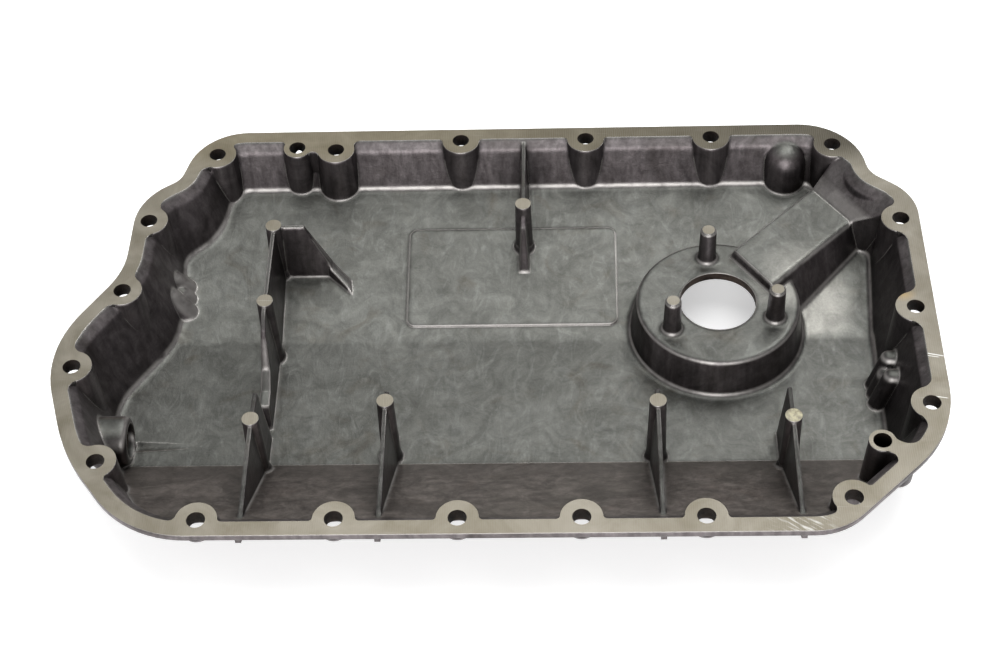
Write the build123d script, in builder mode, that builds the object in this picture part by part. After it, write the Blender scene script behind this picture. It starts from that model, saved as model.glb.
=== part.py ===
"""Lower oil pan of a V6 engine: one aluminium die casting.

Millimetres, +Z up.  The origin is the middle of the flat underside that the pan
rests on.  -Y is the shallow front edge, +X the end with the level sensor.
"""
import os
from math import cos, radians, sin, tan

from build123d import *

# ---------------------------------------------------------------- driving sizes
wall = 4.0                 # general thickness of the casting
cavity_depth = 40.0        # machined face down to the deep floor
rim_width = 245.0          # overall size along Y
flange_thickness = 4.5     # rim between the bolts
flange_edge_round = 1.5
land = 7.0                 # width of the machined face between the bolts
bevel = 4.2                # 45 degree lead-in below the machined face
draft = 17.5               # slope of the cavity walls from the vertical
core_draft = 3.0           # draft of columns and ribs
floor_fillet = 3.5
underside_fillet = 2.0


def across(y):
    """A place along Y measured on a pan 245 wide, kept in proportion on any other."""
    return y * rim_width / 245


front_edge = -rim_width / 2
back_edge = rim_width / 2

front_slope = 32.5         # shallow front floor
bend_y = across(18.0)              # where the deep floor starts to rise towards the back
back_rise = 10.4           # slope of the rising floor

bolt_bore = 8.0
bolt_pad = 9.0             # radius of the column round each bolt
bolt_seat = 7.0            # machined face down to the seat under the bolt head
seat_radius = 6.5
front_pitch = 51.6
back_pitch = 61.3
side_pitch = 56.0

dowel_bore = 8.0
dowel_depth = 12.0
dowel_web = 7.5

sensor_at = (102.8, across(23.2))
sensor_drop = 19.5         # machined face down to the sensor platform
sensor_radius = 38.0
sensor_draft = 7.0
seat_fillet = 3.0
sensor_bore = 35.5
sensor_bolt_circle = 55.7
sensor_bolt_turn = 97.5
sensor_post = 3.8
sensor_post_draft = 1.5
sensor_post_foot = 2.5
sensor_pip = 2.9
sensor_drill = 5.0
sensor_drill_depth = 14.0

baffle_radius = 3.7        # baffle posts
baffle_draft = 1.2
foot_radius = 5.5
foot_height = 4.0

rib_top = 1.5              # thickness of a rib at its top
rib_draft = 3.2
rib_drop = 1.2             # machined face down to the top of the ribs
rib_end_drop = 5.5         # the same at the front wall
fin_end_y = across(-43.0)          # back of the fins behind the front posts

duct_turn = 45.0           # cable duct, seen from the sensor
duct_drop = 14.5
duct_width = 27.5
duct_offset = -0.55        # the duct's middle line from the sensor axis
duct_start = 24.2          # sensor axis to the near end of the roof
duct_skew = 9.3            # turn of the duct's ends from square
duct_draft = 18.0
duct_edge = 2.5
ramp_start = 79.8          # sensor axis to the foot of the ramp
ramp_slope = 42.0
ramp_draft = 5.6
ramp_corner = (79.9, -13.4)     # in the duct's own directions
ramp_side_turn = -63.6

drain_y = across(-47.8)
drain_z = 13.5
drain_bore = 16.4          # thread core
drain_radius = 11.3
drain_round = 2.9
drain_inner = -165.0
drain_outer = -186.0
drain_cuts = [(0, 4.2, 1.3), (30, 3.0, 0.1)]     # groove in the floor: x, radius and depth

dome_at = (140.3, back_edge - 13.0, 31.5)
dome_radius = 10.0

# Two-lobed bosses inside the end walls: the lobes' y and z, their radius, the y where
# their flanks reach z 0, the x of their front at the lobes, its lean, and the wall's side.
lobed = [
    ((across(43.5) + 5.5, across(43.5) - 5.5), 15.0, 6.0,
     (across(43.5) + 13.5, across(43.5) - 13.5), -151.0, 38.0, -1),
    ((across(-15.5) + 5.5, across(-15.5) - 5.5), 19.5, 4.5,
     (across(-15.5) + 7.5, across(-15.5) - 12.5), 174.2, 18.0, 1),
]

lug_at = (171.3, across(-87.3))
lug_radius = 6.8
lug_depth = 9.5
stiffener = 4.0            # height of the outer ribs under the front slope
stiffener_thickness = 2.5

panel_size = (100.6, 55.5)
panel_at = (6.1, across(53.4))
panel_height = 1.0
panel_corner = 4.0

# Corners of the flange outline, clockwise from the front right, each with the
# radius of the arc that rounds it.
rim = [
    (145.5, front_edge, 29.0),
    (-152.0, front_edge, 50.0),
    (-185.0, across(-78.5), 99.0),
    (-203.25, across(-19.5), 58.0),
    (-173.5, across(29.0), 41.0),
    (-173.5, across(76.5), 30.0),
    (-154.5, across(89.5), 11.0),
    (-146.0, back_edge, 28.0),
    (172.5, back_edge, 31.0),
    (178.0, across(88.0), 13.0),
    (198.0, across(72.5), 26.0),
    (198.0, across(-71.0), 58.0),
]

front_bolts = [(89.2 - i * front_pitch, front_edge + 8.1) for i in range(4)] + [(-123.2, front_edge + 8.1)]
back_bolts = [(103.7 - i * back_pitch, back_edge - 7.9) for i in range(3)]
side_bolts = [(189.3, across(0.8) + (1 - i) * side_pitch) for i in range(3)]
other_bolts = [(162.3, back_edge - 14.4), (150.7, front_edge + 16.9), (-80.2, back_edge - 13.2),
               (-138.4, back_edge - 15.3), (-166.4, across(61.9)), (-172.8, across(16.8)),
               (-189.0, across(-29.3)), (-170.2, across(-83.0))]
bolts = front_bolts + back_bolts + side_bolts + other_bolts
dowels = [(-99.4, back_edge - 11.4), (165.8, across(-75.8))]
dowel_pads = [6.7, 5.8]    # radius of the column round each dowel
front_posts = [(-105.8, across(-60.2)), (-47.5, across(-50.8)), (71.6, across(-52.2)), (129.5, across(-61.5))]
back_post = (12.0, across(70.0))
wing_posts = [(-106.4, across(57.7)), (-106.0, across(9.4))]
posts = front_posts + [back_post] + wing_posts

# ---------------------------------------------------------------- derived sizes
pan_height = cavity_depth + wall
mouth = pan_height - bevel
front_grade = tan(radians(front_slope))
back_grade = tan(radians(back_rise))
crease_y = land + bevel - rim_width / 2 + (mouth - wall) / front_grade
reach = 2 * rim_width
platform = pan_height - sensor_drop
duct_roof = pan_height - duct_drop
seat = pan_height - bolt_seat


def rim_wire(inset):
    """Closed outline, the flange's own moved inwards by inset."""
    points, radii = [], []
    for i, (x, y, radius) in enumerate(rim):
        here = Vector(x, y)
        before = (here - Vector(*rim[i - 1][:2])).normalized()
        after = (Vector(*rim[(i + 1) % len(rim)][:2]) - here).normalized()
        inward = Vector(before.Y, -before.X) + Vector(after.Y, -after.X)
        points.append(here + inward * (2 * inset / inward.length**2))
        bulges_out = before.X * after.Y - before.Y * after.X < 0
        radii.append(radius - inset if bulges_out else radius + inset)
    return FilletPolyline(*points, radius=radii, close=True)


def side_profile(cover):
    """Corners of the pan's YZ section, its floor lines moved down by cover."""
    low = wall - cover
    crease = crease_y - cover * tan(radians(front_slope / 2))
    bend = bend_y + cover * tan(radians(back_rise / 2))
    return [(crease, low), (bend, low), (reach, low + (reach - bend) * back_grade),
            (reach, reach), (crease - (reach - low) / front_grade, reach)]


def widened(radius, height, slope):
    """Radius of a drafted round column this far below its top."""
    return radius + height * tan(radians(slope))


def floor_at(y):
    """Height of the cavity floor at y."""
    return wall + max(0, (y - bend_y) * back_grade, (crease_y - y) * front_grade)


# ------------------------------------------------------------------- the cavity
with BuildPart() as cavity:
    with BuildSketch(Plane.XY.offset(pan_height)):
        with BuildLine():
            rim_wire(land)
        make_face()
    extrude(amount=-bevel, taper=45)
    with BuildSketch(Plane.XY.offset(mouth)):
        with BuildLine():
            rim_wire(land + bevel)
        make_face()
    extrude(amount=-mouth, taper=draft)
    with BuildSketch(Plane.YZ):
        with BuildLine():
            Polyline(*side_profile(0), close=True)
        make_face()
    extrude(amount=reach, both=True, mode=Mode.INTERSECT)
    # every edge of the deep and the rising floor but the crease in front and the bend
    floors = cavity.faces().filter_by(lambda f: f.normal_at().Z < -0.9)
    fillet([e for e in floors.edges() if abs(e.tangent_at(0.5).X) < 0.999 or e.center().Y > rim_width / 4],
           radius=floor_fillet)


# ---------------------------------------------- columns and posts in the cavity
with BuildPart() as columns:
    with BuildSketch(Plane.XY.offset(pan_height)):
        with Locations(*bolts):
            Circle(bolt_pad)
        for place, radius in zip(dowels, dowel_pads):
            with Locations(place):
                Circle(radius)
        with BuildLine():
            Line(dowels[1], (dowels[1][0] + 2 * bolt_pad, dowels[1][1] - 1.3 * bolt_pad))
        trace(line_width=dowel_web)
    extrude(amount=-pan_height, taper=-core_draft)
    with BuildSketch(Plane.XY.offset(pan_height)):
        with Locations(*posts):
            Circle(baffle_radius)
    extrude(amount=-pan_height, taper=-baffle_draft)
    for x, y in posts:
        with BuildSketch(Plane.XY.offset(floor_at(y) + foot_height)):
            with Locations((x, y)):
                Circle(widened(baffle_radius, cavity_depth - foot_height, baffle_draft))
        with BuildSketch(Plane.XY.offset(floor_at(y))):
            with Locations((x, y)):
                Circle(foot_radius)
        loft()
        with BuildSketch(Plane.XY.offset(floor_at(y))):
            with Locations((x, y)):
                Circle(foot_radius)
        extrude(amount=-wall)

# --------------------------------------------------------- ribs in the cavity
with BuildPart() as rib_heights:
    # along Y, in front of and behind each front post
    for x, y in front_posts:
        with BuildSketch(Plane.YZ.offset(x)):
            with BuildLine():
                Polyline((-rim_width / 2, pan_height - rib_end_drop),
                         (y, pan_height - rib_drop),
                         (y + baffle_radius, pan_height - 2 * rib_drop),
                         (fin_end_y, pan_height - 3 * rib_drop),
                         (fin_end_y + wall, 0),
                         (-rim_width / 2, 0), close=True)
            make_face()
        extrude(amount=foot_radius, both=True)
    # from the back wall to the back post, with a fin in front of the post
    x, y = back_post
    with BuildSketch(Plane.YZ.offset(x)):
        with BuildLine():
            Polyline((rim_width / 2 - land, pan_height - rib_drop),
                     (y - baffle_radius, pan_height - rib_drop - 3.5),
                     (y - 2 * baffle_radius, pan_height - 9),
                     (y - 15.5, floor_at(y - 15.5)),
                     (y - 15.5, 0),
                     (rim_width / 2 - land, 0), close=True)
        make_face()
    extrude(amount=foot_radius, both=True)
    # the wing through the two wing posts, falling away to a low tail
    x, y = wing_posts[1]
    with BuildSketch(Plane.YZ.offset(x)):
        with BuildLine():
            Polyline((wing_posts[0][1], pan_height - rib_drop),
                     (y - 6, pan_height - rib_drop),
                     (y - 14, pan_height - 5),
                     (y - 22.5, wall + 17.5),
                     (y - 31.5, wall + 12.5),
                     (y - 39.5, wall + 12),
                     (y - 44, wall),
                     (y - 44, 0),
                     (wing_posts[0][1], 0), close=True)
        make_face()
    extrude(amount=foot_radius, both=True)
    # and its side arm
    x, y = wing_posts[0]
    with BuildSketch(Plane.XZ.offset(-y)):
        with BuildLine():
            Polyline((x, pan_height - rib_drop), (x + 14.3, pan_height - rib_drop),
                     (x + 25.7, wall + 12.5), (x + 34, wall + 7.5),
                     (x + 38, wall), (x + 38, 0), (x, 0), close=True)
        make_face()
    extrude(amount=15, both=True)

with BuildPart() as ribs:
    with BuildSketch(Plane.XY.offset(pan_height)):
        with BuildLine():
            for x, y in front_posts:
                Line((x, -rim_width / 2), (x, fin_end_y + wall))
            Line((back_post[0], rim_width / 2 - land), (back_post[0], back_post[1] - 15.5))
            Line(wing_posts[0], (wing_posts[1][0], wing_posts[1][1] - 44))
        trace(line_width=rib_top)
        x, y = wing_posts[0]
        with BuildLine():
            Polyline((x, y), (x + 24.5, y), (x + 38, y - 12))
        trace(line_width=rib_top)
    extrude(amount=-pan_height, taper=-rib_draft)
    add(rib_heights.part, mode=Mode.INTERSECT)


# ------------------------------------------------ sensor seat and cable duct
duct_plane = Plane(origin=(*sensor_at, 0), z_dir=(0, 0, 1),
                   x_dir=(cos(radians(duct_turn)), sin(radians(duct_turn)), 0))
ramp_plane = Plane(origin=(*sensor_at, 0),
                   z_dir=(sin(radians(duct_turn - duct_skew)), -cos(radians(duct_turn - duct_skew)), 0),
                   x_dir=(cos(radians(duct_turn - duct_skew)), sin(radians(duct_turn - duct_skew)), 0))

def duct_outline(inset):
    """Corners of the duct in duct_plane, each side moved in by inset."""
    left = duct_offset + duct_width / 2 - inset
    right = duct_offset - duct_width / 2 + inset
    near = duct_start + inset
    skew = tan(radians(duct_skew))
    return [(near + left * skew, left), (reach, left), (reach, right), (near + right * skew, right)]


def ramp_outline(cover):
    """Corners of the ramp's section in ramp_plane, its slope moved down by cover."""
    start = ramp_start + cover / sin(radians(ramp_slope))
    return [(start - duct_roof / tan(radians(ramp_slope)), 0),
            (start + (pan_height - duct_roof) / tan(radians(ramp_slope)), pan_height),
            (reach, pan_height), (reach, 0)]


def ramp_plan():
    """Corners of the ramp block's plan in duct_plane, at the machined face."""
    left = duct_offset + duct_width / 2 - duct_drop * tan(radians(ramp_draft))
    x, y = ramp_corner
    return [(duct_start + duct_width, left), (reach, left), (reach, -reach),
            (x + rim_width * cos(radians(ramp_side_turn)), y + rim_width * sin(radians(ramp_side_turn))),
            (x, y), (duct_start + duct_width, y)]


across_duct = Axis((0, 0, 0), duct_plane.y_dir)

with BuildPart() as sensor_seat:
    with BuildSketch(Plane.XY.offset(platform)):
        with Locations(sensor_at):
            Circle(sensor_radius)
    extrude(amount=-platform, taper=-sensor_draft)
    fillet(sensor_seat.faces().sort_by(Axis.Z)[-1].edges(), radius=2.5)
    with BuildSketch(Plane.XY.offset(pan_height)):
        with Locations(sensor_at):
            with PolarLocations(sensor_bolt_circle / 2, 3, start_angle=sensor_bolt_turn):
                Circle(sensor_pip)
    extrude(amount=-1)
    with BuildSketch(Plane.XY.offset(pan_height - 1)):
        with Locations(sensor_at):
            with PolarLocations(sensor_bolt_circle / 2, 3, start_angle=sensor_bolt_turn):
                Circle(sensor_post)
    extrude(amount=1 - sensor_drop, taper=-sensor_post_draft)
    feet = sensor_seat.edges().filter_by(GeomType.CIRCLE).filter_by_position(Axis.Z, platform, platform)
    fillet(feet.filter_by(lambda e: e.radius < 2 * sensor_post), radius=sensor_post_foot)

with BuildPart() as duct:
    with BuildSketch(duct_plane.offset(duct_roof)):
        with BuildLine():
            Polyline(*duct_outline(0), close=True)
        make_face()
    extrude(amount=-duct_roof, taper=-duct_draft)
    fillet(duct.faces().sort_by(Axis.Z)[-1].edges().sort_by(across_duct)[0], radius=duct_edge)

with BuildPart() as ramp:
    with BuildSketch(duct_plane.offset(pan_height)):
        with BuildLine():
            Polyline(*ramp_plan(), close=True)
        make_face()
    extrude(amount=-pan_height, taper=-ramp_draft)
    with BuildSketch(ramp_plane):
        with BuildLine():
            Polyline(*ramp_outline(0), close=True)
        make_face()
    extrude(amount=reach, both=True, mode=Mode.INTERSECT)

with BuildPart() as wall_bosses:
    # blind boss on the back wall
    with Locations(dome_at):
        Sphere(dome_radius)
    with BuildSketch(Plane.XY.offset(dome_at[2])):
        with Locations(dome_at[:2]):
            Circle(dome_radius)
    extrude(amount=-dome_at[2], taper=-core_draft)
    # lobed bosses on the end walls: three round fingers each, the middle one lower
    for lobes, z, radius, feet, face_x, tilt, out in lobed:
        lean = -out * tan(radians(tilt))
        tip_x = face_x + out * radius / cos(radians(tilt))
        spread = (lobes[0] - lobes[1]) / 2
        middle_y = (lobes[0] + lobes[1]) / 2
        fingers = [(lobes[0], z, feet[0] - radius), (lobes[1], z, feet[1] + radius),
                   (middle_y, z - spread, (feet[0] + feet[1]) / 2)]
        for y, top_z, foot_y in fingers:
            tip = Vector(tip_x + lean * (z - top_z), y, top_z)
            foot = Vector(tip_x + lean * z, foot_y, 0)
            with Locations(tip):
                Sphere(radius)
            for end in (foot, tip + Vector(out * 6 * radius, 0, 0)):
                with BuildSketch(Plane(origin=tip, z_dir=end - tip)):
                    Circle(radius)
                extrude(amount=(end - tip).length)
    # drain boss
    with BuildSketch(Plane.YZ.offset(drain_outer)):
        with Locations((drain_y, drain_z)):
            Circle(drain_radius)
    drain_boss = extrude(amount=drain_inner - drain_outer, mode=Mode.PRIVATE)
    add(drain_boss.fillet(drain_round, drain_boss.edges().sort_by(Axis.X)[-1:]))

with BuildPart() as drain_groove:
    for x, radius, depth in drain_cuts:
        with BuildSketch(Plane.YZ.offset(drain_inner + x)):
            with Locations((drain_y + 4, wall + radius - depth)):
                Circle(radius)
    loft()

with BuildPart() as panel:
    with BuildSketch(Plane((panel_at[0], panel_at[1], floor_at(panel_at[1])), x_dir=(1, 0, 0),
                           z_dir=(0, -sin(radians(back_rise)), cos(radians(back_rise))))):
        RectangleRounded(*panel_size, panel_corner)
    extrude(amount=panel_height, both=True)

with BuildPart() as hollow:
    add(cavity.part)
    for core in (columns, ribs, sensor_seat, duct, ramp, wall_bosses, panel):
        add(core.part, mode=Mode.SUBTRACT)
    # rounded foot of the sensor seat and of the duct
    seat_foot = widened(sensor_radius, platform, sensor_draft)
    duct_foot = widened(duct_width / 2, duct_roof, duct_draft)
    seat_feet = []
    for edge in hollow.edges():
        middle = duct_plane.to_local_coords(edge @ 0.5)
        on_floor = all(abs((edge @ t).Z - floor_at((edge @ t).Y)) < 0.02 for t in (0, 0.5, 1))
        round_seat = Vector(middle.X, middle.Y).length < seat_foot
        beside_duct = middle.X > duct_start and duct_foot / 2 < abs(middle.Y) < duct_foot
        if on_floor and (round_seat or beside_duct and edge.length > duct_foot / 2):
            seat_feet.append(edge)
    fillet(seat_feet, radius=seat_fillet)
    add(drain_groove.part)

with BuildPart() as notch:
    with BuildSketch(duct_plane.offset(pan_height)):
        with BuildLine():
            Polyline(*ramp_plan(), close=True)
        make_face()
        offset(amount=-wall, kind=Kind.INTERSECTION)
    extrude(amount=-pan_height, taper=-ramp_draft)
    with BuildSketch(ramp_plane):
        with BuildLine():
            Polyline(*ramp_outline(wall), close=True)
        make_face()
    extrude(amount=reach, both=True, mode=Mode.INTERSECT)
    split(bisect_by=Plane.XY.offset(pan_height - flange_thickness), keep=Keep.BOTTOM)

# ------------------------------------------------------------------- the flange
with BuildPart() as flange:
    with BuildSketch(Plane.XY.offset(pan_height)):
        with BuildLine():
            rim_wire(0)
        make_face()
    extrude(amount=-flange_thickness)
    fillet(flange.faces().sort_by(Axis.Z)[0].edges(), radius=flange_edge_round)

# ------------------------------------------------------------------ the casting
with BuildPart() as oil_pan:
    with BuildSketch(Plane.XY.offset(mouth)):
        with BuildLine():
            rim_wire(land + bevel - wall / cos(radians(draft)))
        make_face()
    extrude(amount=-mouth, taper=draft)
    with BuildSketch(Plane.YZ):
        with BuildLine():
            Polyline(*side_profile(wall), close=True)
        make_face()
    extrude(amount=reach, both=True, mode=Mode.INTERSECT)
    floors = oil_pan.faces().filter_by(lambda f: f.normal_at().Z < -0.9)
    fillet([e for e in floors.edges() if abs(e.tangent_at(0.5).X) < 0.999 or e.center().Y > rim_width / 4],
           radius=underside_fillet)
    add(flange.part)
    # bosses under the bolt seats, drafted out to the rim
    with BuildSketch(Plane.XY.offset(pan_height - flange_thickness)):
        with Locations(*bolts):
            Circle(seat_radius + 1.2)
    extrude(amount=flange_thickness - bolt_seat, taper=25)
    # lug under the corner of the flange
    with BuildSketch(Plane.XY.offset(pan_height - flange_thickness)):
        with Locations(lug_at):
            Circle(lug_radius)
    extrude(amount=flange_thickness - lug_depth, taper=core_draft)
    # stiffening ribs under the front slope
    for x, y in front_posts:
        with BuildSketch(Plane.YZ.offset(x)):
            with BuildLine():
                Polyline((crease_y, wall / 2), (crease_y - (mouth - wall) / front_grade, mouth),
                         (2 - rim_width / 2, mouth),
                         (2 - rim_width / 2, mouth - stiffener),
                         (crease_y - stiffener / front_grade, 0), (crease_y, 0), close=True)
            make_face()
        extrude(amount=stiffener_thickness / 2, both=True)
    # seat of the drain plug
    with BuildSketch(Plane.YZ.offset(drain_inner)):
        with Locations((drain_y, drain_z)):
            Circle(drain_radius)
    extrude(amount=drain_outer - drain_inner)

    add(hollow.part, mode=Mode.SUBTRACT)

    # recesses up to the bolt seats, and the bores
    with BuildSketch(Plane.XY.offset(seat)):
        with Locations(*bolts):
            Circle(seat_radius)
    extrude(amount=-seat - wall, taper=-core_draft / 2, mode=Mode.SUBTRACT)
    with Locations(*[(x, y, pan_height) for x, y in bolts]):
        Hole(bolt_bore / 2, depth=bolt_seat)
    with Locations(*[(x, y, pan_height) for x, y in dowels]):
        Hole(dowel_bore / 2, depth=dowel_depth)
    # recess under the sensor platform
    with BuildSketch(Plane.XY.offset(platform - wall)):
        with Locations(sensor_at):
            Circle(sensor_radius - wall)
    extrude(amount=wall - platform, taper=-sensor_draft, mode=Mode.SUBTRACT)
    with Locations((*sensor_at, platform)):
        Hole(sensor_bore / 2, depth=wall)
    with BuildSketch(Plane.XY.offset(platform - wall)):
        with Locations(sensor_at):
            with PolarLocations(sensor_bolt_circle / 2, 3, start_angle=sensor_bolt_turn):
                Circle(sensor_drill / 2)
    extrude(amount=sensor_drill_depth, mode=Mode.SUBTRACT)
    # cable channel under the duct, and the notch that it opens into
    with BuildSketch(duct_plane.offset(duct_roof - wall)):
        with BuildLine():
            Polyline(*duct_outline(wall), close=True)
        make_face()
    extrude(amount=wall - duct_roof, taper=-duct_draft, mode=Mode.SUBTRACT)
    add(notch.part, mode=Mode.SUBTRACT)
    # recess behind the blind boss
    with Locations(dome_at):
        Sphere(dome_radius - wall, mode=Mode.SUBTRACT)
    with BuildSketch(Plane.XY.offset(dome_at[2])):
        with Locations(dome_at[:2]):
            Circle(dome_radius - wall)
    extrude(amount=-dome_at[2], taper=-core_draft, mode=Mode.SUBTRACT)
    # drain bore
    with BuildSketch(Plane.YZ.offset(drain_outer)):
        with Locations((drain_y, drain_z)):
            Circle(drain_bore / 2)
    extrude(amount=drain_inner - drain_outer, mode=Mode.SUBTRACT)

oil_pan.part.label = "oil_pan"
os.makedirs("parts", exist_ok=True)
export_step(oil_pan.part, "parts/oil_pan.step")
print("volume", oil_pan.part.volume, "valid", oil_pan.part.is_valid, "solids", len(oil_pan.solids()))
print(oil_pan.part.bounding_box())
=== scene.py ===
# %% [markdown]
# # A die-cast engine oil pan, dressed
# The pan is one aluminium casting. Its shape comes ready from the CAD model, so this
# notebook adds what a casting has on its surface: the grey die-cast skin with its flow
# marks, the milled sealing face, the drilled holes and the cut threads. We start by
# loading the model.

# %% Load the casting
from math import atan2, radians

import bmesh
import bpy
from mathutils import Matrix, Vector


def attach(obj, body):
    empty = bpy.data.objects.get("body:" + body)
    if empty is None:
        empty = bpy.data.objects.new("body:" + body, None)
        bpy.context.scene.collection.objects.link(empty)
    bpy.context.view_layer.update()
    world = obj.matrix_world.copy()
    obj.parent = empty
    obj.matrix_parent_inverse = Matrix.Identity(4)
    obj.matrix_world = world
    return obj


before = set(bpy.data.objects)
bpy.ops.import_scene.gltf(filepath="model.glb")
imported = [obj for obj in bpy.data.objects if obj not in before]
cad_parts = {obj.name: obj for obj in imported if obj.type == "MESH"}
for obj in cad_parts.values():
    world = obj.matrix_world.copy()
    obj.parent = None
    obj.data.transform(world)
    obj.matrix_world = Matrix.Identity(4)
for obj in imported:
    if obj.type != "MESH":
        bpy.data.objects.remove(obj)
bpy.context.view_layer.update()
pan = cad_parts["oil_pan"]

# %% [markdown]
# ## Where we stand
# A camera is a place and three directions. We look down into the open pan from its
# shallow front edge, about 48 degrees below the horizon, with a 70.7 mm lens. A long
# lens from nearly a metre away keeps the far edge almost as wide as the near one. The
# matrix holds right, up and backwards as its columns.

# %% Camera
RIGHT = Vector((0.99930, 0.01465, -0.03450))
UP = Vector((0.01192, 0.74840, 0.66314))
FORWARD = Vector((-0.03553, 0.66308, -0.74770))
lens_data = bpy.data.cameras.new("camera")
lens_data.lens, lens_data.sensor_width = 70.693, 36.0
lens_data.clip_start, lens_data.clip_end = 0.01, 20.0
camera = bpy.data.objects.new("camera", lens_data)
bpy.context.scene.collection.objects.link(camera)
turn = Matrix((RIGHT, UP, -FORWARD)).transposed().to_4x4()
camera.matrix_world = Matrix.Translation((0.03359, -0.59699, 0.70291)) @ turn
bpy.context.scene.camera = camera
print("camera stands", round(camera.matrix_world.translation.length, 3), "m from the pan's middle")

# %% [markdown]
# ## The table and the lamps
# Bare metal shows what it mirrors. The flat floor of the pan mirrors what is high up
# behind it, and its steep walls mirror each other and the front of the room. So the
# big soft lamps hang overhead and behind. One more stands far out in front, low enough
# to reach the back wall, and the room itself stays dim. Floors turn silver-grey and walls
# turn dark, as on real castings. The table glows a little, so that it stays white.

# %% Table
bpy.ops.object.select_all(action="DESELECT")
bpy.ops.mesh.primitive_plane_add(size=6.0, location=(0, 0, -0.0002))
table = bpy.context.active_object
table.name = "table_top"
paper = bpy.data.materials.new("matt white paper")
paper.use_nodes = True
sheet = paper.node_tree.nodes["Principled BSDF"]
sheet.inputs["Roughness"].default_value = 0.9
sheet.inputs["Specular IOR Level"].default_value = 0.1
sheet.inputs["Emission Color"].default_value = (1.0, 1.0, 1.0, 1)
sheet.inputs["Emission Strength"].default_value = 0.42
mottle = paper.node_tree.nodes.new("ShaderNodeTexNoise")
mottle.inputs["Scale"].default_value = 3.0
tint = paper.node_tree.nodes.new("ShaderNodeValToRGB")
tint.color_ramp.elements[0].color = (0.93, 0.93, 0.93, 1)
tint.color_ramp.elements[1].color = (0.97, 0.97, 0.97, 1)
paper.node_tree.links.new(mottle.outputs["Fac"], tint.inputs["Fac"])
paper.node_tree.links.new(tint.outputs["Color"], sheet.inputs["Base Color"])
table.data.materials.append(paper)
print("table top at z =", round(table.location.z, 4))


# %% [markdown]
# A studio lights metal with softboxes: large even squares that give wide soft highlights.
# An area lamp does the same here. A small one at the back right adds crisper glints.

# %% Lamps
def softbox(name, place, aim, size, watts):
    """A square lamp at place that faces aim. Its edge length sets how soft the shadows are."""
    data = bpy.data.lights.new(name, "AREA")
    data.shape, data.size, data.energy = "SQUARE", size, watts
    lamp = bpy.data.objects.new(name, data)
    bpy.context.scene.collection.objects.link(lamp)
    lamp.location = place
    lamp.rotation_euler = (Vector(aim) - Vector(place)).to_track_quat("-Z", "Y").to_euler()
    return lamp


softbox("overhead", (0.12, 0.4, 1.9), (0, 0, 0), 1.7, 24)
softbox("behind", (0.25, 1.9, 1.3), (0, 0, 0), 1.4, 12)
softbox("front_fill", (-0.1, -1.9, 1.0), (0, 0, 0), 1.5, 32)
softbox("glint", (0.75, 0.85, 1.5), (0.1, 0, 0), 0.35, 5)
room = bpy.data.worlds.new("room")
room.use_nodes = True
room.node_tree.nodes["Background"].inputs["Color"].default_value = (1.0, 1.0, 1.0, 1)
room.node_tree.nodes["Background"].inputs["Strength"].default_value = 0.42
bpy.context.scene.world = room
bpy.context.scene.view_settings.view_transform = "Standard"

# %% [markdown]
# ## A small kit for building finishes
# Every finish is a graph of nodes, and a graph soon gets hard to read. A few helpers keep
# it short: they make a node and fill its sockets, give a noise pattern whose grains have
# a size in millimetres, turn a pattern into a fraction between two limits, and mix or tint
# colours. A pattern's place is the object's own millimetres, so it never slides.


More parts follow.
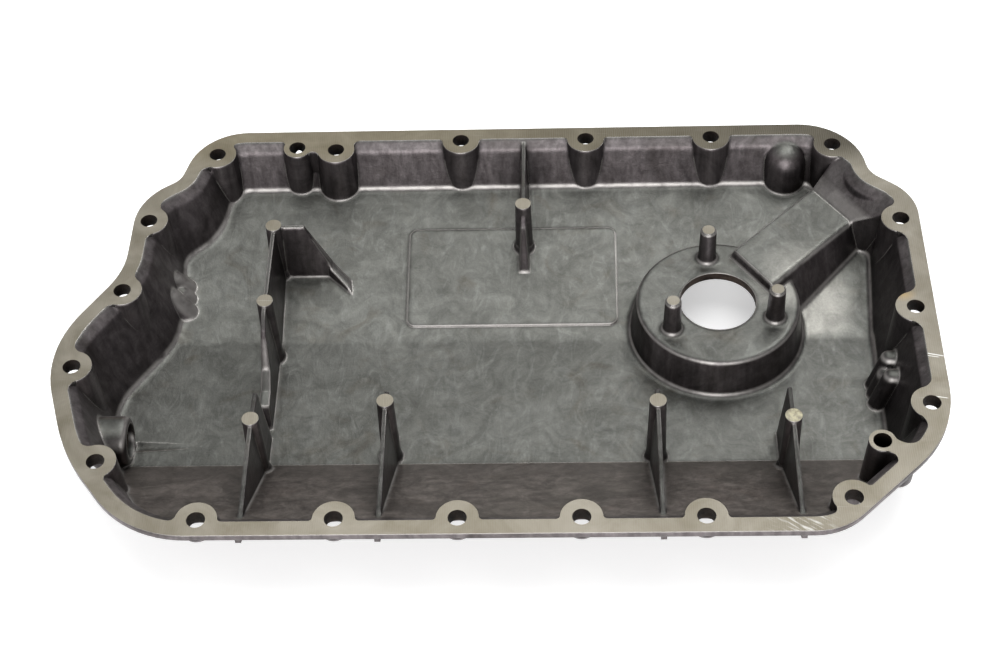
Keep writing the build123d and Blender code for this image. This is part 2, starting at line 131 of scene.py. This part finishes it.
# %% Node helpers
class Finish:
    """A new material and short ways to wire its nodes."""

    def __init__(self, name):
        self.material = bpy.data.materials.new(name)
        self.material.use_nodes = True
        self.tree = self.material.node_tree
        self.shader = self.tree.nodes["Principled BSDF"]
        place = self.node("ShaderNodeTexCoord").outputs["Object"]
        self.mm = self.node("ShaderNodeVectorMath", "SCALE", {0: place, "Scale": 1000.0}).outputs[0]
        self.split = self.node("ShaderNodeSeparateXYZ", None, {0: self.mm})
        geometry = self.node("ShaderNodeNewGeometry")
        self.normal = geometry.outputs["Normal"]
        self.facing = self.node("ShaderNodeSeparateXYZ", None, {0: geometry.outputs["True Normal"]})

    def node(self, kind, mode=None, sockets=None):
        made = self.tree.nodes.new(kind)
        if mode and kind in ("ShaderNodeMath", "ShaderNodeVectorMath"):
            made.operation = mode
        for key, value in (sockets or {}).items():
            if isinstance(value, bpy.types.NodeSocket):
                self.tree.links.new(value, made.inputs[key])
            else:
                made.inputs[key].default_value = value
        return made

    def math(self, mode, a, b=0.0, clamp=False):
        made = self.node("ShaderNodeMath", mode, {0: a, 1: b})
        made.use_clamp = clamp
        return made.outputs[0]

    def stretched(self, x, y, z):
        """Millimetres, squeezed along each axis so that a pattern is drawn out there."""
        return self.node("ShaderNodeVectorMath", "MULTIPLY", {0: self.mm, 1: (x, y, z)}).outputs[0]

    def noise(self, grain, detail=2.0, rough=0.5, swirl=0.0, place=None):
        """A pattern between 0 and 1 whose grains are about this many millimetres wide."""
        made = self.node("ShaderNodeTexNoise", None, {"Vector": place or self.mm, "Scale": 1.0 / grain,
                         "Detail": detail, "Roughness": rough, "Distortion": swirl})
        return made.outputs["Fac"]

    def between(self, value, low, high):
        """0 at low, 1 at high, straight in between."""
        made = self.node("ShaderNodeMapRange", None, {0: value, 1: low, 2: high})
        made.clamp = True
        return made.outputs[0]

    def mix(self, amount, a, b):
        made = self.tree.nodes.new("ShaderNodeMix")
        made.data_type = "RGBA"
        for index, value in ((0, amount), (6, a), (7, b)):
            if isinstance(value, bpy.types.NodeSocket):
                self.tree.links.new(value, made.inputs[index])
            else:
                made.inputs[index].default_value = value if index == 0 else (*value, 1.0)
        return made.outputs[2]

    def grey(self, factor):
        """A grey as light as the pattern says."""
        return self.node("ShaderNodeCombineXYZ", None, {0: factor, 1: factor, 2: factor}).outputs[0]

    def tint(self, colour, by):
        """The colour multiplied by another one."""
        return self.node("ShaderNodeVectorMath", "MULTIPLY", {0: colour, 1: by}).outputs[0]

    def scale_colour(self, colour, factor):
        """The colour made lighter or darker by a pattern."""
        return self.tint(colour, self.grey(factor))

    def bump(self, height, depth, normal=None):
        """Height in 0..1 stands for this many millimetres."""
        sockets = {"Height": height, "Distance": depth / 1000.0, "Strength": 1.0}
        if normal:
            sockets["Normal"] = normal
        return self.node("ShaderNodeBump", None, sockets).outputs[0]

    def finish(self, colour, rough, metal, normal):
        for name, value in (("Base Color", colour), ("Roughness", rough), ("Metallic", metal), ("Normal", normal)):
            if isinstance(value, bpy.types.NodeSocket):
                self.tree.links.new(value, self.shader.inputs[name])
            else:
                self.shader.inputs[name].default_value = value
        return self.material


print("helpers ready")

# %% [markdown]
# ## The die-cast skin
# Molten metal leaves marks where it ran: wide soft clouds, thin swirling flow lines and
# a few brown stains from the die spray. Steep walls look different, because the die
# rubs them as the part leaves it: they are slightly mauve and streaked along the way
# out, which is straight up; their darker look is painted shade, added further down. One
# colour can't do both, so we make a floor grey and a wall grey and let the lean of the
# surface choose. Some places get a fraction of their own, and most of these are painted
# light and shade: the rising floor behind the bend is painted lighter, the floor beside
# the duct gets a painted highlight, the right end and the sides of the ribs get painted
# shade, and the front slope is painted lighter and carries its own stains.

# %% Colour of the skin
BEND_FROM, BEND_TO = 16.0, 22.0
CREASE_FROM, CREASE_TO = -66.0, -70.0
skin = Finish("die-cast aluminium skin")
clouds = skin.noise(38, 5, 0.62, 0.8)
flow = skin.noise(9, 4, 0.65, 2.4, skin.stretched(1.0, 0.42, 1.0))
grain = skin.noise(1.1, 3, 0.7)
floor_grey = skin.mix(skin.between(clouds, 0.32, 0.68), (0.092, 0.093, 0.084), (0.135, 0.137, 0.126))
floor_grey = skin.mix(skin.between(flow, 0.50, 0.80), floor_grey, (0.170, 0.174, 0.162))
stains = skin.between(skin.noise(24, 4, 0.6, 1.0, skin.stretched(1.0, 1.3, 1.0)), 0.57, 0.78)
floor_grey = skin.mix(skin.math("MULTIPLY", stains, 0.6), floor_grey, (0.070, 0.058, 0.042))
drag = skin.noise(3.2, 4, 0.6, 0.2, skin.stretched(1.0, 1.0, 0.09))
wall_grey = skin.mix(skin.between(drag, 0.3, 0.7), (0.100, 0.086, 0.088), (0.200, 0.178, 0.182))
wall_grey = skin.mix(skin.between(clouds, 0.52, 0.75), wall_grey, (0.060, 0.050, 0.048))
rounded = skin.node("ShaderNodeBevel", None, {"Radius": 0.0030})
rounded.samples = 8
lean = skin.node("ShaderNodeSeparateXYZ", None, {0: rounded.outputs[0]}).outputs["Z"]
steep = skin.between(lean, 0.93, 0.66)
# Painted light: the floor behind the bend, where it rises, is made lighter than the floor in front.
behind_bend = skin.between(skin.split.outputs["Y"], BEND_FROM, BEND_TO)
floor_grey = skin.scale_colour(floor_grey, skin.math("ADD", skin.math("MULTIPLY", behind_bend, 0.10), 0.75))
# Painted highlight: a bright patch on the rising floor beside the duct stands in for a lamp's reflection.
duct_painted_highlight = skin.node("ShaderNodeVectorMath", "DISTANCE", {0: skin.mm, 1: (143.0, 34.0, 12.0)}).outputs["Value"]
duct_painted_highlight = skin.math("MULTIPLY", skin.between(duct_painted_highlight, 30.0, 16.0), behind_bend)
floor_grey = skin.mix(skin.math("MULTIPLY", duct_painted_highlight, 0.8), floor_grey, (0.24, 0.236, 0.215))
# Painted shade: steep faces at the right end are made darker.
right_end_painted_shade = skin.math("MULTIPLY", skin.between(skin.split.outputs["X"], 160.0, 172.0),
                      skin.between(lean, 0.58, 0.44))
wall_grey = skin.scale_colour(wall_grey, skin.math("SUBTRACT", 1.0, skin.math("MULTIPLY", right_end_painted_shade, 0.55)))
# Painted shade: the sides of the ribs, which face across the pan, are made darker.
across_pan = skin.math("ABSOLUTE", skin.facing.outputs["X"])
in_middle = skin.between(skin.math("ABSOLUTE", skin.split.outputs["X"]), 150.0, 138.0)
rib_side_painted_shade = skin.math("MULTIPLY", skin.between(across_pan, 0.80, 0.96), in_middle)
wall_grey = skin.scale_colour(wall_grey, skin.math("SUBTRACT", 1.0, skin.math("MULTIPLY", rib_side_painted_shade, 0.5)))
colour = skin.mix(steep, floor_grey, wall_grey)
blotches = skin.between(skin.noise(15, 5, 0.66, 1.8), 0.34, 0.66)
colour = skin.scale_colour(colour, skin.math("ADD", skin.math("MULTIPLY", blotches, 0.44), 0.71))
on_front = skin.math("MULTIPLY", skin.between(skin.split.outputs["Y"], CREASE_FROM, CREASE_TO),
                     skin.between(skin.facing.outputs["Z"], 0.10, 0.30))
spray = skin.between(skin.noise(19, 5, 0.68, 1.4, skin.stretched(1.0, 1.6, 1.0)), 0.42, 0.60)
spray = skin.math("MULTIPLY", spray, skin.math("MULTIPLY", on_front, 0.42))
# Painted light: the front slope is made lighter; the spray stains on it are its own colour.
front_light = skin.math("ADD", skin.math("MULTIPLY", on_front, 0.30), 1.0)
colour = skin.scale_colour(colour, skin.math("SUBTRACT", front_light, spray))
colour = skin.scale_colour(colour, skin.math("ADD", skin.math("MULTIPLY", grain, 0.5), 0.75))
print("skin colour nodes:", len(skin.tree.nodes))

# %% [markdown]
# Corners get little light, so an Ambient Occlusion node finds them and they are darkened
# with painted shade. Edges and ribs are the opposite: they are the first to be rubbed bright,
# and they also get a painted highlight. A Bevel node finds them, because its rounded normal
# differs there from the flat one.

# %% Rubbed edges with painted highlights, and painted shade of the skin
sharp = skin.node("ShaderNodeBevel", None, {"Radius": 0.0012})
sharp.samples = 6
alike = skin.node("ShaderNodeVectorMath", "DOT_PRODUCT", {0: sharp.outputs[0], 1: skin.normal}).outputs["Value"]
corner = skin.node("ShaderNodeAmbientOcclusion", None, {"Distance": 0.022})
corner.samples = 6
light = corner.outputs["AO"]
# Edge wear and painted highlight: edges found by the Bevel node, out in the open, are made pale.
wear_and_edge_highlight = skin.math("MULTIPLY", skin.between(skin.math("SUBTRACT", 1.0, alike), 0.01, 0.12),
                 skin.between(light, 0.35, 0.65))
below_mouth = skin.math("ABSOLUTE", skin.math("SUBTRACT", skin.split.outputs["Z"], 38.5))
wear_and_edge_highlight = skin.math("MULTIPLY", wear_and_edge_highlight, skin.between(below_mouth, 2.5, 4.5))
# Painted highlight: fillets and other faces leaning between about 35 and 70 degrees, below the mouth, get a pale
# streaky band.
fillet_painted_highlight = skin.math("MULTIPLY", skin.between(lean, 0.34, 0.52), skin.between(lean, 0.83, 0.66))
fillet_painted_highlight = skin.math("MULTIPLY", fillet_painted_highlight, skin.between(skin.noise(7, 3), 0.20, 0.50))
fillet_painted_highlight = skin.math("MULTIPLY", fillet_painted_highlight, skin.between(skin.split.outputs["Z"], 35.5, 33.5))
# Painted shade: steep faces are darkened where the Ambient Occlusion node finds little light, and the deepest
# corners are turned almost black.
corner_painted_shade = skin.between(light, 0.20, 0.92)
shade = skin.math("ADD", skin.math("MULTIPLY", corner_painted_shade, 0.88), 0.12)
# Painted light: slopes of about 40 degrees that face towards the back are made lighter.
slope_painted_light = skin.between(skin.facing.outputs["Y"], 0.30, 0.50)
colour = skin.mix(skin.math("MULTIPLY", slope_painted_light, skin.between(lean, 0.70, 0.80)), colour,
                  skin.tint(colour, (1.62, 1.50, 1.42)))
colour = skin.tint(colour, skin.mix(steep, (1.0, 1.0, 1.0), skin.grey(shade)))
colour = skin.mix(skin.between(light, 0.42, 0.10), colour, (0.026, 0.021, 0.019))
colour = skin.mix(skin.math("MULTIPLY", wear_and_edge_highlight, 0.85), colour, (0.50, 0.48, 0.455))
colour = skin.mix(skin.math("MULTIPLY", fillet_painted_highlight, 0.75), colour, (0.47, 0.45, 0.43))
print("rubbed edges found with a", round(sharp.inputs["Radius"].default_value * 1000, 2), "mm rounding")

# %% [markdown]
# The skin is not equally dull. Flow marks and grains change how sharp it mirrors, and
# rubbed edges mirror best. A bump of a few hundredths of a millimetre does the rest.

# %% Sheen and texture of the skin
dull = skin.math("ADD", skin.math("MULTIPLY", flow, 0.14), skin.math("MULTIPLY", grain, 0.12))
dull = skin.math("SUBTRACT", skin.math("ADD", dull, 0.27), skin.math("MULTIPLY", wear_and_edge_highlight, 0.08))
pits = skin.math("ADD", skin.math("MULTIPLY", grain, 0.7), skin.math("MULTIPLY", flow, 0.9))
surface = skin.bump(pits, 0.12, rounded.outputs[0])
cast_skin = skin.finish(colour, dull, 0.85, surface)
print("die-cast skin ready:", cast_skin.name)

# %% [markdown]
# ## The milled sealing face
# The rim and the tops of the posts are cut flat by one big face mill. The cutter leaves
# fine curved lines, and the bare metal is paler and warmer than the skin. Wiping and
# stacking leave thin scratches, so long stretched noise is cut off high, which keeps
# only a few hair lines.

# %% Milled face
milled = Finish("milled aluminium face")
arcs = milled.node("ShaderNodeTexWave", None, {"Vector": milled.stretched(1.0, 0.25, 0.0), "Scale": 0.33,
                   "Distortion": 6.0, "Detail": 3.0, "Detail Scale": 0.7}).outputs["Fac"]
patches = milled.noise(22, 4, 0.6, 0.6)
bare = milled.mix(milled.between(patches, 0.3, 0.7), (0.142, 0.126, 0.092), (0.245, 0.226, 0.186))
left_to_right = milled.math("MULTIPLY", milled.split.outputs["X"], -0.0012)
bare = milled.scale_colour(bare, milled.math("ADD", left_to_right, 0.92))
# Towards the back the face turns darker and yellower, the more so on the right.
back_darker_warmer = milled.math("ADD", milled.math("MULTIPLY", milled.split.outputs["X"], -0.0016), 0.57)
back_darker_warmer = milled.tint(milled.scale_colour(bare, back_darker_warmer), (1.0, 0.96, 0.84))
bare = milled.mix(milled.between(milled.split.outputs["Y"], 90.0, 108.0), bare, back_darker_warmer)
bare = milled.mix(milled.math("MULTIPLY", arcs, 0.09), bare, (0.30, 0.29, 0.26))
hairs = milled.between(milled.noise(1.1, 3, 0.5, 0.3, milled.stretched(0.04, 1.0, 1.0)), 0.70, 0.80)
bare = milled.mix(milled.math("MULTIPLY", hairs, 0.45), bare, (0.42, 0.42, 0.40))
print("milled face nodes:", len(milled.tree.nodes))


# %% [markdown]
# A few marks sit at known places: three scratches across the right side, two short ones
# near its front corner, a rubbed patch with slanting strokes at the front, a yellow stain
# beside a bolt and a spotted post. Two helpers place them: a soft disc and a straight line.

# %% Scratches and stains on the milled face
def near(finish, x, y, reach):
    """1 at a point of the face, given in millimetres, fading to 0 at reach."""
    away = finish.node("ShaderNodeVectorMath", "DISTANCE", {0: finish.mm, 1: (x, y, 44.0)}).outputs["Value"]
    return finish.between(away, reach, reach * 0.35)


def scratch(finish, start, end, width):
    """1 on a straight line between two points of the face, 0 beside it."""
    run = Vector(end) - Vector(start)
    middle = (Vector(start) + Vector(end)) / 2
    along, across = run.normalized(), Vector((-run.y, run.x)).normalized()
    off = finish.node("ShaderNodeVectorMath", "SUBTRACT", {0: finish.mm, 1: (*middle, 44.0)}).outputs[0]
    u = finish.node("ShaderNodeVectorMath", "DOT_PRODUCT", {0: off, 1: (*along, 0)}).outputs["Value"]
    v = finish.node("ShaderNodeVectorMath", "DOT_PRODUCT", {0: off, 1: (*across, 0)}).outputs["Value"]
    inside = finish.between(finish.math("ABSOLUTE", u), run.length / 2, run.length / 2 - 1)
    return finish.math("MULTIPLY", inside, finish.between(finish.math("ABSOLUTE", v), width, width * 0.3))


THIN_SCRATCHES = (((189.0, -28.2), (196.0, -29.6)), ((189.3, -51.5), (196.8, -53.0)),
                  ((158.0, -93.5), (161.5, -95.9)), ((160.5, -92.3), (164.0, -94.5)))
marks = scratch(milled, (189.5, -26.9), (198.5, -29.1), 0.35)
for start, end in THIN_SCRATCHES:
    marks = milled.math("MAXIMUM", marks, scratch(milled, start, end, 0.25))
turned = milled.node("ShaderNodeMapping", None, {"Vector": milled.mm, "Rotation": (0, 0, radians(-35)),
                     "Scale": (9.0, 1.2, 1.0)})
turned.vector_type = "TEXTURE"
strokes = milled.between(milled.noise(1.0, 2, 0.5, 0.1, turned.outputs[0]), 0.52, 0.68)
rub = milled.math("MULTIPLY", near(milled, 129.0, -116.5, 17.0), strokes)
marks = milled.math("MAXIMUM", marks, milled.math("MULTIPLY", rub, 0.55))
bare = milled.mix(marks, bare, (0.46, 0.46, 0.44))
stain = milled.math("MULTIPLY", near(milled, 184.5, 10.5, 7.0), milled.between(patches, 0.35, 0.6))
bare = milled.mix(milled.math("MULTIPLY", stain, 0.5), bare, (0.26, 0.17, 0.05))
post = milled.math("MULTIPLY", near(milled, 129.5, -61.5, 9.0), milled.between(milled.noise(2, 3), 0.35, 0.6))
bare = milled.mix(milled.math("MULTIPLY", post, 0.45), bare, (0.42, 0.40, 0.26))
smooth = milled.math("ADD", milled.math("MULTIPLY", patches, 0.16), milled.math("MULTIPLY", arcs, 0.06))
smooth = milled.math("ADD", smooth, 0.25)
lines = milled.bump(milled.math("ADD", arcs, hairs), 0.012)
milled_face = milled.finish(bare, smooth, 0.85, lines)
print("milled face ready:", milled_face.name)

# %% [markdown]
# ## Drilled holes
# A drill leaves rings down a hole. Little light gets in, so the hole is given a near-black colour and an Ambient
# Occlusion node darkens it further: both are painted shade.

# %% Drilled holes
drilled = Finish("drilled aluminium")
rings = drilled.node("ShaderNodeTexWave", None, {"Vector": drilled.mm, "Scale": 0.5, "Distortion": 1.2,
                     "Detail": 2.0, "Detail Scale": 0.6})
rings.bands_direction = "Z"
# Painted shade: the near-black colours stand in for the shade inside the hole.
bore_shade_colour = drilled.mix(rings.outputs["Fac"], (0.014, 0.010, 0.008), (0.085, 0.062, 0.050))
bore_shade_colour = drilled.mix(drilled.between(drilled.noise(6, 3), 0.45, 0.7), bore_shade_colour, (0.012, 0.008, 0.006))
# Painted shade: the Ambient Occlusion node darkens the hole further in.
inner = drilled.node("ShaderNodeAmbientOcclusion", None, {"Distance": 0.012})
inner.samples = 6
bore_shade_colour = drilled.scale_colour(bore_shade_colour, drilled.between(inner.outputs["AO"], 0.15, 0.75))
drilled.shader.inputs["Specular IOR Level"].default_value = 0.15
drilled_hole = drilled.finish(bore_shade_colour, drilled.between(drilled.noise(2, 3), -1.2, 1.4), 0.5,
                              drilled.bump(rings.outputs["Fac"], 0.06))
print("drilled holes ready:", drilled_hole.name)

# %% [markdown]
# ## Which face gets which finish
# The casting has three material slots. A face is milled if it looks straight up at the
# very top, and drilled if it is upright and lies on the wall of a hole. Every other
# face keeps the cast skin. Only the slot number of a face changes, never its shape.

# %% Give every face its finish
MILLED_Z, BOLT_HOLE = 0.0440, 0.0042
BOLTS = [(89.2, -114.4), (37.6, -114.4), (-14.0, -114.4), (-65.6, -114.4), (-123.2, -114.4),
         (103.7, 114.6), (42.4, 114.6), (-18.9, 114.6), (189.3, 56.8), (189.3, 0.8), (189.3, -55.2),
         (162.3, 108.1), (150.7, -105.6), (-80.2, 109.3), (-138.4, 107.2), (-166.4, 61.9),
         (-172.8, 16.8), (-189.0, -29.3), (-170.2, -83.0), (-99.4, 111.1), (165.8, -75.8)]
SENSOR, SENSOR_HOLE = (0.1028, 0.0232), 0.0180
pan.data.materials.clear()
for finish in (cast_skin, milled_face, drilled_hole):
    pan.data.materials.append(finish)
count = [0, 0, 0]
for face in pan.data.polygons:
    x, y, z = face.center
    slot = 0
    if face.normal.z > 0.999 and z > MILLED_Z - 0.00005:
        slot = 1
    elif abs(face.normal.z) < 0.01:
        near_bolt = any((x - bx / 1000) ** 2 + (y - by / 1000) ** 2 < BOLT_HOLE**2 for bx, by in BOLTS)
        near_sensor = (x - SENSOR[0]) ** 2 + (y - SENSOR[1]) ** 2 < SENSOR_HOLE**2
        slot = 2 if near_bolt or near_sensor else 0
    face.material_index = slot
    count[slot] += 1
print("faces with skin, milled, drilled:", count)

# %% [markdown]
# ## Webs beside the bolt pads
# On a casting no pad meets the rim in a sharp notch: a small web with a hollow curve
# fills it. The notches can be found in the model itself. The milled face ends inside in
# one long outline, and wherever that outline turns sharply into the metal there is a
# notch. A circle that touches both sides of it gives the curve of the web.

# %% The inner outline of the milled face
sides = {}
for face in pan.data.polygons:
    if face.material_index == 1:
        ring = [tuple(round(c * 1000, 3) for c in pan.data.vertices[v].co[:2]) for v in face.vertices]
        for a, b in zip(ring, ring[1:] + ring[:1]):
            if (b, a) in sides:
                del sides[(b, a)]
            else:
                sides[(a, b)] = True
after = {a: b for a, b in sides}
outlines = []
while after:
    start, here = next(iter(after.items()))
    outline = [start]
    del after[start]
    while here != start and here in after:
        outline.append(here)
        here = after.pop(here)
    outlines.append([Vector(p) for p in outline])


def length(outline):
    return sum((b - a).length for a, b in zip(outline, outline[1:]))


def turn_to_left(a, b):
    """Angle from a to b, counted to the left."""
    return atan2(a.x * b.y - a.y * b.x, a.dot(b))


def nearest_between(point, a, b):
    """The place between a and b that is nearest to the point."""
    run = b - a
    return a + run * max(0.0, min(1.0, (point - a).dot(run) / max(run.length_squared, 1e-12)))


outlines.sort(key=length, reverse=True)
inner, outer = sorted(outlines[:2], key=lambda outline: max(p.x for p in outline))
area = sum(a.x * b.y - b.x * a.y for a, b in zip(inner, inner[1:] + inner[:1])) / 2
if area < 0:
    inner.reverse()
print("outlines:", len(outlines), "inner one:", len(inner), "points,", round(length(inner)), "mm")


# %% [markdown]
# To fit a circle into a notch, shift both of its sides in by the radius: the circle's
# centre is where the shifted sides cross. A circle that would cut into the metal elsewhere
# is refused, and the next crossing is tried. That also finds the one wide web between two
# pads that stand close together.

# %% A web that fills one notch
def web(outline, corner, radius):
    """The web at this corner: its curve's centre, its curve and its whole ring, or None."""
    n = len(outline)

    def walk(step):
        """Runs along the outline away from the corner, each with its shifted copy."""
        runs, i, gone = [], corner, 0.0
        while gone < 4 * radius + 4:
            a, b = outline[i % n], outline[(i + step) % n]
            forward = (b - a).normalized() * step
            side = Vector((-forward.y, forward.x)) * radius
            runs.append((a, b, a + side, b + side, side))
            gone += (b - a).length
            i += step
        return runs

    back, ahead = walk(-1), walk(1)
    for i, (_, _, start, end, side) in enumerate(back):
        for j, (_, _, other_start, other_end, other_side) in enumerate(ahead):
            u, v, w = end - start, other_end - other_start, other_start - start
            cross = u.x * v.y - u.y * v.x
            if abs(cross) < 1e-9:
                continue
            s, t = (w.x * v.y - w.y * v.x) / cross, (w.x * u.y - w.y * u.x) / cross
            if -0.001 <= s <= 1.001 and -0.001 <= t <= 1.001:
                centre = start + u * s
                if min((centre - nearest_between(centre, *run[:2])).length for run in back + ahead) < radius - 0.03:
                    continue
                first, turn_by = -other_side, turn_to_left(-other_side, -side)
                arc = [centre + Matrix.Rotation(turn_by * k / 8, 2) @ first for k in range(9)]
                ring = [run[0] for run in ahead[: j + 1]] + arc
                return centre, arc, ring + [run[0] for run in reversed(back[1 : i + 1])]
    return None


def web_radius(point):
    if point.x > 172 and abs(point.y) < 90:
        return 6.5
    return 5.0 if point.x < -140 else 3.2


plans = {}
for i, point in enumerate(inner):
    before, ahead = point - inner[i - 1], inner[(i + 1) % len(inner)] - point
    if before.length and ahead.length and turn_to_left(before, ahead) > radians(24):
        for radius in (web_radius(point), web_radius(point) * 0.6, 1.6):
            found = web(inner, i, radius)
            if found:
                plans.setdefault((round(found[0].x), round(found[0].y)), found)
                break
print("notches with a web:", len(plans))

# %% [markdown]
# Just under the milled face the mouth of the cavity slopes in by 4.2 mm, and it hides
# the foot of a small web. A larger one goes on down to the floor. There it leans in as
# the wall does, and it gets thinner, so that it never shows on the wall's outer side.

# %% Raise the webs
MOUTH, BEVEL, WALL_LEAN = 39.8, 4.2, 0.36
LAND = 7.3  # the milled land of 7 mm and a little more, so that a web ends inside the wall


def nearest_on(outline, p):
    """The nearest place on a closed outline."""
    places = [nearest_between(p, a, b) for a, b in zip(outline, outline[1:] + outline[:1])]
    return min(places, key=lambda place: (p - place).length)


def pushed_in(p, depth):
    """The point, moved in from the outer edge until the wall hides it at this depth."""
    edge = nearest_on(outer, p)
    need = LAND + WALL_LEAN * depth
    return p if (p - edge).length >= need else edge + (p - edge).normalized() * need


def rings_of(centre, arc, ring):
    """The web's rings from the milled face down. Millimetres."""
    middle = arc[len(arc) // 2]
    reach = (middle - nearest_on(outer, middle)).length
    radius = (middle - centre).length
    if reach > LAND + BEVEL:
        seen = pan.ray_cast((middle.x / 1000, middle.y / 1000, MOUTH / 1000), (0, 0, -1))
        drop = MOUTH - seen[1].z * 1000 + 0.5
    else:
        drop = 7.5 if radius > BEVEL else 0.0
    levels = [[(p.x, p.y, MILLED_Z * 1000) for p in ring]]
    for depth in (0.0, drop) if drop else (0.0,):
        moved = [pushed_in(p, depth) for p in ring] if drop else ring
        levels.append([(p.x, p.y, MOUTH - depth) for p in moved])
    return levels


mesh = bpy.data.meshes.new("pad_webs")
shape = bmesh.new()
for plan in plans.values():
    loops = [[shape.verts.new((x / 1000, y / 1000, z / 1000)) for x, y, z in level]
             for level in rings_of(*plan)]
    shape.faces.new(loops[0])
    shape.faces.new(loops[-1])
    for above, below in zip(loops, loops[1:]):
        for i in range(len(above)):
            shape.faces.new((above[i - 1], above[i], below[i], below[i - 1]))
shape.to_mesh(mesh)
shape.free()
webs = bpy.data.objects.new("pad_webs", mesh)
bpy.context.scene.collection.objects.link(webs)
bpy.ops.object.select_all(action="DESELECT")
webs.select_set(True)
bpy.context.view_layer.objects.active = webs
bpy.ops.object.mode_set(mode="EDIT")
bpy.ops.mesh.select_all(action="SELECT")
bpy.ops.mesh.normals_make_consistent(inside=False)
bpy.ops.object.mode_set(mode="OBJECT")
webs.data.materials.append(cast_skin)
webs.data.materials.append(milled_face)
for face in webs.data.polygons:
    face.material_index = 1 if face.normal.z > 0.9 and face.center.z > MILLED_Z - 0.001 else 0
bpy.ops.object.select_all(action="DESELECT")
webs.select_set(True)
bpy.ops.object.shade_smooth_by_angle(angle=radians(40))
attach(webs, "root")
print("webs:", len(webs.data.polygons), "faces")

# %% [markdown]
# ## Cut threads
# The drain hole and the three sensor posts are threaded. A thread is one small triangle
# wound round an axis while it moves along it, which is what a Screw modifier does. We
# draw the triangle once as a three-sided circle, let the modifier wind it, apply it,
# close its two ends and turn the result to the hole's own axis.


# %% One thread
def cut_thread(name, mouth, inward, core, pitch, length):
    """A ridge wound from the hole's mouth inwards. Metres."""
    bpy.ops.object.select_all(action="DESELECT")
    bpy.ops.mesh.primitive_circle_add(vertices=3, radius=pitch * 0.5, fill_type="NOTHING",
                                      location=(core, 0, 0), rotation=(radians(90), 0, 0))
    ridge = bpy.context.active_object
    ridge.name = name
    ridge.data.name = name
    bpy.ops.object.mode_set(mode="EDIT")
    bpy.ops.mesh.select_all(action="SELECT")
    bpy.ops.transform.rotate(value=radians(90), orient_axis="Y", center_override=(core, 0, 0))
    bpy.ops.object.mode_set(mode="OBJECT")
    bpy.ops.object.transform_apply(location=True, rotation=True, scale=True)
    screw = ridge.modifiers.new("wind", "SCREW")
    screw.axis, screw.screw_offset = "Z", pitch
    screw.iterations = int(length / pitch)
    screw.steps = screw.render_steps = 28
    screw.use_merge_vertices = False
    bpy.ops.object.modifier_apply(modifier=screw.name)
    bpy.ops.object.mode_set(mode="EDIT")
    bpy.ops.mesh.select_all(action="DESELECT")
    bpy.ops.mesh.select_non_manifold(extend=False, use_wire=False, use_multi_face=False,
                                     use_non_contiguous=False, use_verts=False)
    bpy.ops.mesh.edge_face_add()
    bpy.ops.mesh.select_all(action="SELECT")
    bpy.ops.mesh.normals_make_consistent(inside=False)
    bpy.ops.object.mode_set(mode="OBJECT")
    axis = Vector(inward).to_track_quat("Z", "Y").to_matrix().to_4x4()
    ridge.matrix_world = Matrix.Translation(mouth) @ axis
    bpy.ops.object.transform_apply(location=True, rotation=True, scale=True)
    ridge.data.materials.append(drilled_hole)
    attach(ridge, "root")
    return ridge


print("thread helper ready")

# %% [markdown]
# The drain's thread runs in from the left end. Those of the sensor posts start at the
# underside of the seat, on the circle of the three posts.

# %% Drain thread and sensor threads
drain_thread = cut_thread("drain_thread", (-0.1848, -0.0478, 0.0135), (1, 0, 0), 0.0082, 0.0015, 0.018)
for number, turn in enumerate((97.5, 217.5, 337.5)):
    foot = Matrix.Rotation(radians(turn), 2) @ Vector((0.02785, 0.0)) + Vector(SENSOR)
    cut_thread(f"post_thread_{number + 1}", (foot.x, foot.y, 0.0206), (0, 0, 1), 0.0025, 0.001, 0.012)
print("drain thread:", len(drain_thread.data.polygons), "faces")
